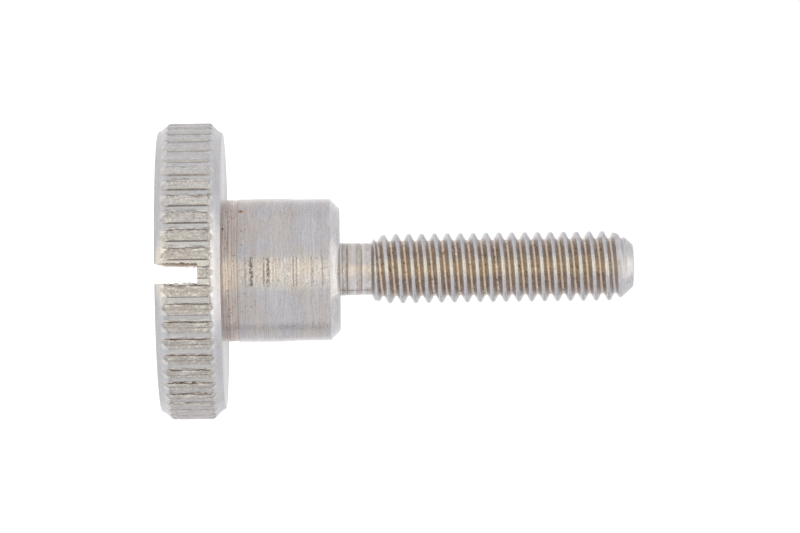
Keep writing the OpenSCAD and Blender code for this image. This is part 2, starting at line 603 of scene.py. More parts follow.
# %% Outlines of the neck and the point
# Each score is a height above the collar's end, a width and a depth, in millimetres.
neck_scores = [(0.13, 0.04, 0.015), (0.38, 0.045, 0.03), (0.93, 0.04, 0.01), (1.17, 0.045, 0.035)]


def scored(points, scores):
    """Lowers a turned stretch in a soft hollow at each score."""
    lowered = []
    for r, h in points:
        place = (h - collar_end) / MM
        depths = [deep * math.exp(-((place - at) / wide) ** 2) for at, wide, deep in scores]
        lowered.append((r - sum(depths) * MM, h))
    return lowered


neck_foot = (neck_radius, collar_end + 0.03 * MM)
neck_rows = turned_rows(neck_foot, (neck_end_radius, neck_end), 30, 0.007 * MM)
neck_outline = [
    (1.6 * MM, collar_end),
    (neck_radius + 0.02 * MM, collar_end),
    *scored(neck_rows, neck_scores),
    (neck_end_radius, neck_end),
]

# The point's end face is slightly domed.
point_outline = [
    (point_radius, point_height),
    (1.09 * MM, point_height + 0.022 * MM),
    (0.95 * MM, point_height + 0.042 * MM),
    (0.6 * MM, point_height + 0.066 * MM),
    (0.3 * MM, tip_height - 0.004 * MM),
    (0, tip_height),
]
print("the neck has", len(neck_outline), "rows and the point", len(point_outline))

# %% [markdown]
# ## Running the machines
# Every outline is now given to the turning tree. The rim then goes through the knurling tree, and
# the thread's section through the threading tree. The numbers are the inputs of their node groups.

# %% Spin, knurl and thread the bands
slot_width = 1.1 * MM
slot_depth = 2.3 * MM
slot_offset = 0.2 * MM
slot_turn = math.radians(-0.7)


def spin(outline, columns, finish):
    """One turned band."""
    return run_tree(outline_mesh(outline), turn_outline, finishes[finish], Columns=columns)


head_columns = 128
shank_columns = 96
rim_blank = spin(rim_outline, tooth_count * tooth_columns, "knurled_metal")
rim = run_tree(rim_blank, roll_knurl, finishes["knurled_metal"], Teeth=tooth_count,
               Crest_Radius=head_radius, Depth=groove_depth, First_Groove=groove_angle,
               Tear=0.2, Roughness=0.035 * MM, Low_End=run_out_end, High_End=run_out_start,
               Slot_Offset=slot_offset, Slot_Width=slot_width, Slot_Turn=slot_turn,
               Burr=0.12 * MM)
thread = run_tree(outline_mesh(thread_section), cut_thread, finishes["thread_metal"],
                  Columns=shank_columns, Pitches=23, Pitch=pitch, First_Crest=10.37 * MM,
                  Start=neck_end, Start_Radius=neck_end_radius, Start_Slope=thread_start_slope,
                  End=point_height, End_Radius=point_radius, End_Slope=point_slope,
                  Start_Lead=start_lead_radius, Lead_Radius=lead_radius, Lead_Slope=lead_slope,
                  Wear=0.03 * MM)
bands = {
    "faced_metal": [spin(face_outline, head_columns, "faced_metal"),
                    spin(point_outline, shank_columns, "faced_metal")],
    "knurled_metal": [rim],
    "turned_metal": [spin(collar_outline, head_columns, "turned_metal")],
    "neck_metal": [spin(neck_outline, shank_columns, "neck_metal")],
    "thread_metal": [thread],
}
for name, meshes in bands.items():
    print(name, "faces:", sum(len(mesh.polygons) for mesh in meshes))

# %% [markdown]
# ## Stitching the bands
# Two bands that meet with the same columns only need their doubles merged. Where the columns differ,
# the rings are zipped: walking round both rings at once, each step makes one triangle with the ring
# that is behind. The result has no gap and no loose face, so it is a solid that a saw can cut.

# %% Zip two rings
ring_tolerance = 0.004 * MM

# Rounding can put the first vertex just below the angle 0, so every angle is moved up by this much.
start_angle = 1e-6


def ring_at(skin, radius, height):
    """The open edge's vertices at one radius and height, in order round the axis."""
    ring = [v for v in skin.verts if v.is_boundary and abs(v.co.z - height) < ring_tolerance
            and abs(v.co.xy.length - radius) < ring_tolerance]
    return sorted(ring, key=lambda v: (math.atan2(v.co.y, v.co.x) + start_angle) % math.tau)


def zip_rings(skin, inner, outer, finish_index):
    """Fills the gap between two rings with triangles."""
    i = j = 0
    while i < len(inner) or j < len(outer):
        corner_in, corner_out = inner[i % len(inner)], outer[j % len(outer)]
        if j * len(inner) > i * len(outer) or j == len(outer):
            i += 1
            corners = (corner_in, inner[i % len(inner)], corner_out)
        else:
            j += 1
            corners = (corner_in, outer[j % len(outer)], corner_out)
        skin.faces.new(corners).material_index = finish_index


print("an edge may be up to", ring_tolerance / MM, "mm from where its ring is looked for")

# %% Stitch the bands into one skin
def stitch(bands, rings):
    """Joins the bands, merges the edges that match and zips the ones that don't."""
    skin = bmesh.new()
    for name, meshes in bands.items():
        for mesh in meshes:
            first = len(skin.faces)
            skin.from_mesh(mesh)
            skin.faces.ensure_lookup_table()
            for face in skin.faces[first:]:
                face.material_index = finish_names.index(name)
    bmesh.ops.remove_doubles(skin, verts=skin.verts, dist=0.0005 * MM)
    for name, inner, outer in rings:
        zip_rings(skin, ring_at(skin, *inner), ring_at(skin, *outer), finish_names.index(name))
    for face in skin.faces:
        face.smooth = True
    bmesh.ops.recalc_face_normals(skin, faces=skin.faces)
    open_edges = sum(not edge.is_manifold for edge in skin.edges)
    print("skin:", len(skin.faces), "faces,", open_edges, "open edges")
    mesh = bpy.data.meshes.new("thumb_screw_skin")
    skin.to_mesh(mesh)
    skin.free()
    for name in finish_names:
        mesh.materials.append(finishes[name])
    return mesh


skin_mesh = stitch(bands, [
    ("faced_metal", face_outline[-1], rim_outline[0]),
    ("turned_metal", collar_outline[0], rim_outline[-1]),
    ("turned_metal", neck_outline[0], collar_outline[-1]),
])

# %% [markdown]
# ## Sawing the slot
# The saw is a Boolean modifier with a bar as its cutter. A plain box would leave edges as straight
# as glass, but a saw tears the rim where it breaks out, so the bar's sides are divided finely near
# both ends and pushed in and out by noise there. Along the middle they are almost flat.

# %% The saw's bar
from mathutils import noise

saw_reach = head_radius + 0.6 * MM
saw_start = -0.8 * MM
tear_zone = 1.1 * MM
floor_round = 0.09 * MM

# How far the walls are torn, in millimetres, inside the head and more at the rim.
inner_tear = 0.008
rim_tear = 0.26
low_side_tear = 0.5
tear_grain = Vector((900, 5200, 6500))


def saw_sections():
    """Places along the bar: close together near the rim, far apart inside."""
    inner_end = head_radius - tear_zone
    rim_steps = stretch((inner_end,), (saw_reach,), 26)
    middle = stretch((-inner_end,), (inner_end,), 24)
    near = [-y for (y,) in reversed([*rim_steps[1:], (saw_reach,)])]
    return [*near, *[y for (y,) in middle], *[y for (y,) in rim_steps], saw_reach]


def saw_outline():
    """The bar's section from one side over the floor to the other side, as (across, height)."""
    side = slot_width / 2
    floor_edge = slot_depth - floor_round
    floor_end = side - floor_round
    up = [(side, h) for _, h in stretch((0, saw_start), (0, floor_edge), 40)]
    corner = [(floor_end + x, floor_edge + z) for x, z in rounded((0, 0), floor_round, 0, 90, 4)]
    half = [*up, *corner]
    floor = [(x, slot_depth) for x, _ in stretch((floor_end, 0), (-floor_end, 0), 6)]
    return [*half, *floor, *[(-x, h) for x, h in reversed(half)]]


print("slot:", slot_width / MM, "mm wide,", slot_depth / MM, "mm deep")

# %% The torn bar
def saw_bar():
    """The closed bar, turned and set off to one side of the axis."""
    bar = bmesh.new()
    section = saw_outline()
    rings = []
    for y in saw_sections():
        rim_share = min(max((abs(y) - head_radius + tear_zone) / tear_zone, 0.0), 1.0)
        tear = (inner_tear + rim_tear * rim_share ** 3) * MM
        ring = []
        for x, z in section:
            wall = min(abs(x) / (slot_width / 2), 1.0)
            torn = noise.noise(Vector((x, y, z)) * tear_grain)
            side_share = low_side_tear if x < 0 else 1.0
            shift = torn * tear * side_share * wall * math.copysign(1.0, x)
            ring.append(bar.verts.new((x + shift, y, z)))
        rings.append(ring)
    for near, far in zip(rings, rings[1:]):
        for i in range(len(section)):
            j = (i + 1) % len(section)
            bar.faces.new((near[i], near[j], far[j], far[i]))
    bar.faces.new(rings[0])
    bar.faces.new(rings[-1])
    bmesh.ops.recalc_face_normals(bar, faces=bar.faces)
    bmesh.ops.triangulate(bar, faces=bar.faces)
    for vert in bar.verts:
        x, y, z = vert.co
        x += slot_offset
        vert.co = (x * math.cos(slot_turn) - y * math.sin(slot_turn),
                   x * math.sin(slot_turn) + y * math.cos(slot_turn), z)
    mesh = bpy.data.meshes.new("saw_bar")
    bar.to_mesh(mesh)
    bar.free()
    mesh.materials.append(finishes["sawn_metal"])
    return mesh


saw_mesh = saw_bar()
print("the bar has", len(saw_mesh.polygons), "faces")

# %% Cut the slot
sharp_angle = math.radians(38)


def cut(mesh, cutter_mesh):
    """Takes the cutter's shape out of a mesh and returns the rest as a new object."""
    blank = bpy.data.objects.new("thumb_screw_body", mesh)
    cutter = bpy.data.objects.new("saw", cutter_mesh)
    for thing in (blank, cutter):
        bpy.context.scene.collection.objects.link(thing)
    saw = blank.modifiers.new("saw", "BOOLEAN")
    saw.operation = "DIFFERENCE"
    saw.solver = "MANIFOLD"
    saw.object = cutter
    ready = blank.evaluated_get(bpy.context.evaluated_depsgraph_get())
    result = bpy.data.meshes.new_from_object(ready)
    blank.modifiers.clear()
    blank.data = result
    bpy.data.objects.remove(cutter)
    return blank


thumb_screw = cut(skin_mesh, saw_mesh)
thumb_screw.data.set_sharp_from_angle(angle=sharp_angle)
triangles = sum(len(face.vertices) - 2 for face in thumb_screw.data.polygons)
print("thumb screw:", triangles, "triangles, finishes", [m.name for m in thumb_screw.data.materials])

# %% [markdown]
# ## Finishes
# The whole screw is one steel, but a lathe, a wheel, a saw and a die each leave their own surface on
# it. Every pattern below is worked out from Object coordinates, so it sits on the metal, has its real
# size and needs no UV map. `Finish` opens one material and measures where a point lies: its place in
# millimetres, its height, and its radius and angle about the axis. The masks come from those.
# Steel is a metallic surface, so its colour is the colour of its reflections. Dirt and rust are drawn
# as darker and rougher metal. Some highlights and shade are painted into the colours as well.

# %% Masks and colours
class Masks(Sheet):
    """A sheet with words for masks, which go from 0 to 1, and for the colours that they show."""

    def step(self, low, high, value):
        """A soft step: 0 where the value is under low, 1 where it is over high."""
        ends = {"Value": value, "From Min": low, "From Max": high}
        return self.add("ShaderNodeMapRange", ends, interpolation_type="SMOOTHSTEP")

    def between(self, value, low, high, soft):
        """1 between two limits and 0 outside, with soft edges."""
        rise = self.step(low - soft, low + soft, value)
        fall = self.step(high + soft, high - soft, value)
        return self.math("MULTIPLY", rise, fall)

    def all_of(self, *masks):
        """Multiplies masks together."""
        result = masks[0]
        for mask in masks[1:]:
            result = self.math("MULTIPLY", result, mask)
        return result

    def any_of(self, masks):
        """The strongest of several masks."""
        result = masks[0]
        for mask in masks[1:]:
            result = self.math("MAXIMUM", result, mask)
        return result

    def vary(self, pattern, amount):
        """Turns a pattern from 0 to 1 into a brightness around 1."""
        return self.math("MULTIPLY_ADD", pattern, 2 * amount, 1 - amount)

    def shade(self, colour, *brightness):
        """Makes a colour brighter or darker."""
        for factor in brightness:
            colour = self.add("ShaderNodeVectorMath", {0: colour, "Scale": factor}, operation="SCALE")
        return colour

    def blend(self, mask, under, over):
        """One colour under another, where a mask shows the upper one."""
        sides = [(*c, 1.0) if isinstance(c, tuple) else c for c in (under, over)]
        return self.add("ShaderNodeMix", {0: mask, 6: sides[0], 7: sides[1]}, output=2, data_type="RGBA")

    def coats(self, colour, *coats):
        """Lays coats over a colour, the lowest first. Each is a mask, a strength and a colour."""
        for mask, strength, over in coats:
            colour = self.blend(self.math("MULTIPLY", mask, strength), colour, over)
        return colour


print("masks and colours:", ", ".join(word for word in vars(Masks) if word[0] != "_"))

# %% Words for a finish
class Finish(Masks):
    """The node sheet of one finish, with the measures that its patterns use, in millimetres."""

    def __init__(self, name, anisotropy=0.0):
        material = finishes[name]
        material.use_nodes = True
        super().__init__(material.node_tree)
        self.name = name
        self.shader = material.node_tree.nodes["Principled BSDF"]
        self.shader.inputs["Metallic"].default_value = 1.0
        self.shader.inputs["Anisotropic"].default_value = anisotropy
        self.shader.inputs["Anisotropic Rotation"].default_value = 0.25
        if anisotropy > 0:
            round_the_axis = self.add("ShaderNodeTangent", direction_type="RADIAL", axis="Z")
            self.feed(self.shader.inputs["Tangent"], round_the_axis)
        place = self.add("ShaderNodeTexCoord", output="Object")
        self.place = self.add("ShaderNodeVectorMath", {0: place, "Scale": 1 / MM}, operation="SCALE")
        self.x, self.y, self.height = self.split(self.place)
        squares = [self.math("MULTIPLY", side, side) for side in (self.x, self.y)]
        self.radius = self.math("SQRT", self.math("ADD", *squares))

    def grain(self, per_mm, detail=2.0, shift=0.0):
        """Noise from 0 to 1 with the same grain in every direction."""
        place = self.add("ShaderNodeVectorMath", {0: self.place, 1: (shift, 0.0, 0.0)}, operation="ADD")
        return self.add("ShaderNodeTexNoise", {"Vector": place, "Scale": per_mm, "Detail": detail})

    def lines(self, per_mm, length, detail=3.0, shift=0.0):
        """Noise drawn out round the axis, as a turning tool leaves it."""
        across = self.math("MULTIPLY_ADD", self.radius, 1.7, self.height)
        x = self.math("DIVIDE", self.x, length)
        y = self.math("DIVIDE", self.y, length)
        place = self.join(x, self.math("ADD", y, shift), across)
        return self.add("ShaderNodeTexNoise", {"Vector": place, "Scale": per_mm, "Detail": detail,
                                               "Roughness": 0.6})

    def rings(self, scores):
        """Thin rings round the axis. Each score is a height, a width and a strength."""
        found = []
        for height, width, strength in scores:
            away = self.math("ABSOLUTE", self.math("SUBTRACT", self.height, height))
            found.append(self.math("MULTIPLY", self.step(width, width * 0.3, away), strength))
        return self.any_of(found)

    def spots(self, places):
        """Small marks. Each has an x, a height, and half its width and its length up the screw."""
        front = self.step(-0.5, -0.6, self.y)
        found = []
        for x, height, half_width, half_length in places:
            across = self.math("DIVIDE", self.math("SUBTRACT", self.x, x), half_width)
            along = self.math("DIVIDE", self.math("SUBTRACT", self.height, height), half_length)
            away = self.math("ADD", self.math("MULTIPLY", across, across),
                             self.math("MULTIPLY", along, along))
            found.append(self.step(1.3, 0.5, away))
        return self.all_of(front, self.any_of(found))

    def bump(self, depth, pattern, under=None):
        """Raises the surface by a pattern, up to a depth in millimetres."""
        raised = {"Strength": 1.0, "Distance": depth * MM, "Height": pattern}
        if under is not None:
            raised["Normal"] = under
        return self.add("ShaderNodeBump", raised)

    def finish(self, colour, roughness, normal):
        """Feeds the shader."""
        self.feed(self.shader.inputs["Base Color"], colour)
        self.feed(self.shader.inputs["Roughness"], roughness)
        self.feed(self.shader.inputs["Normal"], normal)
        print(self.name, "has", len(self.tree.nodes), "nodes")


# Reflection colours of the steel itself, of its stains, its dirt and its rust. The dark brown one is
# dirt in some places and painted shade in corners and crevices in others.
cool_steel = (0.50, 0.485, 0.50)
warm_steel = (0.51, 0.475, 0.455)
stained_steel = (0.43, 0.36, 0.325)
brown_dirt_and_shade = (0.13, 0.09, 0.065)
black_dirt = (0.07, 0.06, 0.055)
orange_rust = (0.36, 0.15, 0.07)
print("a finish is made with:", ", ".join(word for word in vars(Finish) if word[0] != "_"))

# %% [markdown]
# ## Marks on the collar
# Noise is good for marks that lie anywhere, but a ring that one plunge of the tool has left, or one
# large speck of rust, has its own place. Those are given as short lists. A ring is a height, a width
# and a strength. A spot is an x, a height, and half its width and length. All are in millimetres.

# %% Rings and spots on the collar
band_top = band_end / MM
collar_base = head_height / MM
chamfer_start = collar_edge / MM
collar_scores = [(band_top - 0.03, 0.05, 0.9), (4.1, 0.03, 0.7), (3.96, 0.05, 1.0), (3.77, 0.035, 0.8),
                 (3.62, 0.035, 0.8), (4.66, 0.035, 0.6), (5.22, 0.035, 0.5), (6.22, 0.035, 0.6),
                 (7.3, 0.03, 0.6), (8.86, 0.035, 0.6)]
pitted_scores = [(5.03, 0.14, 1.0), (5.94, 0.12, 1.0), (5.73, 0.05, 0.5), (7.5, 0.05, 0.4),
                 (8.36, 0.07, 0.4), (8.89, 0.05, 0.35), (4.72, 0.06, 0.3)]
highlight_scores = [(7.30, 0.05, 1.0), (7.47, 0.045, 0.7), (5.70, 0.045, 0.9), (8.28, 0.06, 0.6),
                 (6.39, 0.045, 0.5), (8.86, 0.045, 0.6)]
bright_scores = [(7.23, 0.04, 0.8), (7.38, 0.035, 0.6), (7.57, 0.045, 1.0), (5.22, 0.05, 0.9),
                 (6.11, 0.055, 1.0), (8.18, 0.045, 0.6), (8.75, 0.045, 0.6)]
rust_spots = [(-3.19, 4.48, 0.07, 0.14), (-2.13, 4.51, 0.05, 0.04), (-1.38, 4.56, 0.045, 0.035),
              (-0.38, 4.77, 0.04, 0.03), (-2.85, 4.01, 0.05, 0.03), (-3.18, 3.68, 0.04, 0.04),
              (-1.2, 3.7, 0.03, 0.03), (0.55, 3.85, 0.045, 0.03), (2.45, 3.8, 0.05, 0.05)]
black_spots = [(-2.25, 3.52, 0.07, 0.045)]
collar_rings = collar_scores + pitted_scores + highlight_scores + bright_scores
print("collar:", len(collar_rings), "rings and", len(rust_spots + black_spots), "spots")

# %% [markdown]
# ## The painted highlight on the collar
# The front of the collar carries a painted highlight band. Its bright streaks and bright rings are
# painted highlights, its dark streaks painted reflection, and its scored and pitted rings are real
# marks that are drawn only where the highlight shows them. Real pits would cost many faces for
# something finer than a hair, so they are masks: a place, times a ring, times broken noise.

# %% Painted highlight band
highlight_from = -0.72
highlight_to = 0.88
highlight_streak_steel = (0.70, 0.68, 0.63)
dark_reflection_steel = (0.32, 0.30, 0.27)
small_pit = (0.30, 0.27, 0.23)
dark_score = (0.24, 0.21, 0.18)
glint_steel = (0.72, 0.70, 0.665)
deep_pit = (0.11, 0.105, 0.09)


def paint_collar_highlight(f, colour, front, chamfer):
    """Paints the highlight band on the front of the collar. Gives the colour, and the masks of what lies
    deeper.
    """
    off_chamfer = f.math("MULTIPLY_ADD", chamfer, -0.85, 1.0)
    # The band on the front where the highlight is painted.
    painted_light_area = f.all_of(f.between(f.x, highlight_from, highlight_to, 0.06), front, off_chamfer)
    highlight_streaks = f.step(0.5, 0.66, f.lines(10.0, 3.5, shift=13.0))
    dark_reflection_streaks = f.step(0.54, 0.70, f.lines(12.0, 3.0, shift=47.0))
    tiny_pits = f.step(0.58, 0.66, f.grain(11.0, detail=1.0, shift=17.0))
    scores = f.all_of(f.rings(collar_scores), f.step(0.3, 0.6, f.lines(1.0, 2.0, shift=19.0)))
    fine_scores = f.all_of(f.rings(highlight_scores), f.step(0.3, 0.5, f.lines(3.0, 1.5, shift=51.0)))
    glints = f.all_of(f.rings(bright_scores), f.step(0.35, 0.6, f.lines(4.0, 1.2, shift=53.0)))
    drawn_pits = f.step(0.5, 0.6, f.lines(15.0, 2.6, detail=3.0, shift=11.0))
    round_pits = f.step(0.5, 0.6, f.grain(8.0, detail=3.0, shift=43.0))
    pitted = f.all_of(painted_light_area, f.rings(pitted_scores), f.any_of([drawn_pits, round_pits]))
    # Painted highlight streaks and glints, dark painted reflection streaks, and the real scores and pits
    # drawn only in the band.
    colour = f.coats(colour,
                     (f.all_of(painted_light_area, highlight_streaks), 0.5, highlight_streak_steel),
                     (f.all_of(painted_light_area, dark_reflection_streaks), 0.55, dark_reflection_steel),
                     (f.all_of(painted_light_area, tiny_pits), 0.7, small_pit),
                     (scores, 0.45, stained_steel),
                     (f.all_of(painted_light_area, fine_scores), 0.75, dark_score),
                     (f.all_of(painted_light_area, glints), 0.55, glint_steel),
                     (pitted, 0.85, deep_pit))
    return colour, scores, pitted


print("rubbed side:", round(highlight_to - highlight_from, 2), "mm wide")

# %% [markdown]
# ## Stains next to the head
# The band next to the head was turned a little deeper, so hands don't clean it. Damp has stained it
# pink and brown, and small specks of rust have started there. The stain follows the tool's rings,
# fades along the collar, and runs round the corner onto the underside of the head. On the front the
# stain is thinned under a painted highlight, and a warm painted highlight lies on the band near the
# head. The underside of the head is darkened with painted shade.

# %% Stains and rust
pink_stain = (0.66, 0.59, 0.53)
brown_stain = (0.495, 0.42, 0.375)
band_highlight = (0.84, 0.78, 0.70)
shaded_steel = (0.40, 0.375, 0.37)


def stain_collar(f, colour, front):
    """Stains and rusts the band, paints a highlight on its front and paints shade under the head. Gives
    the colour, and the masks of the stain and the rust.
    """
    on_collar = f.step(4.0, 3.95, f.radius)
    band = f.all_of(f.step(band_top + 0.03, band_top - 0.03, f.height), on_collar)
    # On the front the stain is thinned under a painted highlight.
    stain_highlight_area = f.all_of(f.between(f.x, -0.5, 1.3, 0.4), front)
    band_stain = f.all_of(band, f.math("MULTIPLY_ADD", stain_highlight_area, -0.6, 1.0))
    fade = f.step(6.6, 4.2, f.height)
    stain_lines = f.step(0.36, 0.62, f.lines(8.0, 9.0, shift=23.0))
    faded_lines = f.step(0.5, 0.7, f.lines(8.0, 12.0, shift=37.0))
    stained = f.any_of([f.all_of(band_stain, stain_lines, 0.8), f.all_of(fade, faded_lines, 0.6)])
    # A warm painted highlight on the band near the head.
    band_highlight_mask = f.all_of(stain_highlight_area, f.between(f.height, collar_base + 0.04, collar_base + 0.32, 0.07))
    # The underside of the head is darkened with painted shade, and the corner at the collar's foot is
    # darkened too.
    under_head = f.step(collar_base + 0.03, collar_base + 0.01, f.height)
    root_ring = f.all_of(f.step(3.93, 4.0, f.radius), f.step(4.72, 4.55, f.radius),
                         f.step(4.0, 3.9, f.height))
    corner = f.all_of(f.step(collar_base + 0.07, collar_base + 0.01, f.height),
                      f.step(4.1, 3.9, f.radius))
    flecks = f.step(0.735, 0.77, f.grain(9.0, detail=0.0, shift=29.0))
    few_flecks = f.step(0.78, 0.82, f.grain(7.0, detail=0.0, shift=31.0))
    rust = f.any_of([f.spots(rust_spots), f.all_of(flecks, f.any_of([band, root_ring])),
                     f.all_of(few_flecks, fade)])
    colour = f.coats(colour,
                     (band, 0.5, pink_stain),
                     (stained, 1.0, brown_stain),
                     (band_highlight_mask, 0.5, band_highlight),
                     (under_head, 0.35, shaded_steel),
                     (root_ring, 0.35, stained_steel),
                     (corner, 0.25, brown_dirt_and_shade),
                     (rust, 0.8, orange_rust),
                     (f.spots(black_spots), f.step(4.2, 4.05, f.radius), black_dirt))
    return colour, stained, rust


print("stained band:", round(band_width / MM, 2), "mm wide")

# %% [markdown]
# ## The turned collar
# A pointed tool leaves fine rings as it feeds along the bar, so the finish is made of noise that is
# stretched round the axis: `lines` at several sizes. Light then smears along the screw and stays
# sharp round it, which is what the anisotropy does. One oblique scratch crosses the chamfer of the
# seat, and a leaning line of x and height gives its place.

# %% Turned metal
chamfer_steel = (0.515, 0.51, 0.515)
fresh_scratch = (0.85, 0.83, 0.78)


def seat_scratch(f, front):
    """The mask of one short scratch that leans across the chamfer."""
    lean = f.math("MULTIPLY_ADD", f.math("SUBTRACT", f.x, 1.3), 2.2, f.height)
    return f.all_of(f.between(lean, 9.52, 9.6, 0.03), f.between(f.x, 1.17, 1.4, 0.03), front)


def turned_finish():
    """Fine turned rings, painted highlights on the front and on the chamfer, and what damp has done to
    them.
    """
    f = Finish("turned_metal", anisotropy=0.75)
    fine = f.lines(13.0, 14.0)
    feed = f.lines(4.0, 30.0, detail=2.0, shift=3.0)
    hair = f.lines(24.0, 9.0, detail=2.0, shift=7.0)
    patch = f.grain(0.55, detail=3.0)
    speck = f.grain(11.0, detail=1.0, shift=5.0)
    front = f.step(-2.0, -3.0, f.y)
    chamfer = f.step(chamfer_start, chamfer_start + 0.05, f.height)
    colour = f.blend(f.step(0.42, 0.6, patch), cool_steel, warm_steel)
    colour = f.coats(colour, (chamfer, 0.75, chamfer_steel))
    # The chamfer is painted brighter than the rest of the collar, as a painted highlight.
    chamfer_highlight = f.math("MULTIPLY_ADD", chamfer, 0.13, 0.89)
    colour = f.shade(colour, chamfer_highlight, f.vary(fine, 0.26), f.vary(feed, 0.12), f.vary(hair, 0.2),
                     f.vary(speck, 0.16))
    colour, scores, pitted = paint_collar_highlight(f, colour, front, chamfer)
    colour, stained, rust = stain_collar(f, colour, front)
    colour = f.coats(colour, (seat_scratch(f, front), 0.8, fresh_scratch))
    dirt = f.any_of([rust, pitted, f.math("MULTIPLY", stained, 0.4)])
    roughness = f.math("MULTIPLY_ADD", dirt, 0.22, f.math("MULTIPLY_ADD", hair, 0.16, 0.2))
    raised = f.math("MULTIPLY_ADD", hair, 0.5, fine)
    sunk = f.math("SUBTRACT", raised, f.any_of([scores, pitted]))
    normal = f.bump(0.010, sunk, under=f.bump(0.0015, speck))
    f.finish(colour, roughness, normal)


turned_finish()

# %% [markdown]
# ## Where a point lies on the knurl
# The wheel squeezes the crests up until their skin tears, so they are rough and take the light in
# warm grains, while the grooves keep the wheel's smooth, cool face. The finish has to know which is
# which, so it measures how far round its own tooth a point is, in the same way as the knurling tree,
# and reads short sections like the tree's. `RimFinish` adds those measures to `Finish`.

# %% Where a point lies on its tooth
crest_section = [0.0, 0.0, 0.05, 0.3, 0.8, 1.0, 1.0, 1.0, 1.0, 1.0, 1.0, 1.0, 1.0, 0.8, 0.2, 0.0, 0.0]
wrinkle_section = [0.2, 0.5, 1.0, 1.0, 1.0, 1.0, 0.9, 0.7, 0.5, 0.5, 0.4, 0.3, 0.3, 0.2, 0.0, 0.0, 0.1]
rim_low = face_round / MM + 0.26
rim_high = head_height / MM - 0.42


class RimFinish(Finish):
    """A finish that also knows its place on a tooth of the knurl."""

    def __init__(self, name):
        super().__init__(name)
        angle = self.math("SUBTRACT", self.math("ARCTAN2", self.y, self.x), groove_angle)
        turned = self.math("MULTIPLY", angle, tooth_count / math.tau)
        tooth = self.math("ADD", turned, float(tooth_count))
        side = self.step(-1.5, 1.5, self.x)
        wander = self.math("SUBTRACT", self.vary(self.grain(2.6, shift=2.0), 0.09), 1.0)
        wander = self.math("MULTIPLY", wander, self.math("MULTIPLY_ADD", side, -0.5, 1.0))
        self.along = self.math("FRACT", tooth)
        self.wandering = self.math("FRACT", self.math("ADD", tooth, wander))

        # Near both ends the crests narrow, as in the mesh, and their ends are ragged.
        past_low = self.math("SUBTRACT", run_out_end / MM, self.height)
        past_high = self.math("SUBTRACT", self.height, run_out_start / MM)
        past = self.any_of([past_low, past_high, 0.0])
        narrow = self.math("MULTIPLY_ADD", past, tooth_narrowing * MM / narrowing_length, 1.0)
        middle = self.math("MULTIPLY_ADD", side, tooth_middles[1] - tooth_middles[0], tooth_middles[0])
        from_middle = self.math("MULTIPLY", self.math("SUBTRACT", self.wandering, middle), narrow)
        on_crest = self.curve(self.math("ADD", from_middle, middle), even_points(crest_section))
        whole_crest = self.curve(self.wandering, even_points(crest_section))
        ragged = self.math("MULTIPLY_ADD", self.grain(4.0, shift=6.0), 0.24, -0.12)
        length = self.math("ADD", self.height, ragged)
        self.crest = self.all_of(on_crest, self.between(length, rim_low, rim_high, 0.09))
        self.grooved = self.between(length, rim_low + 0.1, rim_high - 0.06, 0.07)
        self.valley = self.all_of(self.math("SUBTRACT", 1.0, self.crest), self.grooved)
        self.corner = self.all_of(self.math("SUBTRACT", whole_crest, on_crest),
                                  self.step(0.03, 0.12, past),
                                  self.between(length, rim_low - 0.05, rim_high + 0.05, 0.06))

        # Patterns that several parts of the finish share.
        self.speck = self.grain(9.0, detail=2.0)
        self.coarse = self.grain(3.4, detail=2.0, shift=4.0)
        self.land_lines = self.lines(10.0, 14.0)
        drawn = self.join(self.x, self.y, self.math("MULTIPLY", self.height, 0.2))
        noise_inputs = {"Vector": drawn, "Scale": 8.0, "Detail": 2.0}
        self.wrinkle = self.add("ShaderNodeTexNoise", noise_inputs)
        self.wrinkled = self.all_of(self.curve(self.along, even_points(wrinkle_section)), self.grooved)


print("teeth stand from", round(rim_low, 2), "to", round(rim_high, 2), "mm above the slotted face")

# %% [markdown]
# ## Smooth parts of the rim
# The lands at both ends keep the rings of the lathe, and each groove keeps the print of the wheel.
# Both are smooth steel, so they share one colour with a little less pattern in the grooves. The
# grooves from x 0.7 to 3.3 mm are darker, and the cut-away corners at the ends of the crests carry
# a painted highlight.

# %% Lands and grooves
cool_land = (0.475, 0.472, 0.49)
warm_land = (0.49, 0.477, 0.475)
groove_steel = (0.46, 0.455, 0.455)
corner_highlight = (0.66, 0.65, 0.64)


def smooth_metal(f):
    """The colour of the lands and of the grooves' floors, with a painted highlight on the cut-away
    corners.
    """
    smear = f.grain(1.2, detail=2.0, shift=8.0)
    land = f.blend(f.step(0.4, 0.6, smear), cool_land, warm_land)
    land = f.shade(land, f.vary(f.land_lines, 0.22), f.vary(f.speck, 0.18))
    darker_grooves = f.math("MULTIPLY_ADD", f.between(f.x, 0.7, 3.3, 0.5), -0.14, 1.0)
    groove = f.shade(groove_steel, darker_grooves, f.vary(f.land_lines, 0.12), f.vary(f.speck, 0.16))
    return f.coats(land, (f.valley, 1.0, groove), (f.corner, 0.6, corner_highlight))


print("lands:", round(land_width / MM, 2), "mm wide")

# %% [markdown]
# ## Crests of the rim
# A crest is covered with grains and with folds that run along the screw. The mesh carries the larger
# wrinkles, and this finish draws the finer ones with painted light: painted highlights on the grains
# and where the skin stands up, and painted shade where it folds, weaker towards positive x.

# %% Crests
crest_steel = (0.405, 0.387, 0.368)
grain_glint = (0.72, 0.68, 0.60)
dark_grain = (0.26, 0.22, 0.195)
fold_shade = (0.24, 0.20, 0.175)
ridge_highlight = (0.66, 0.64, 0.59)


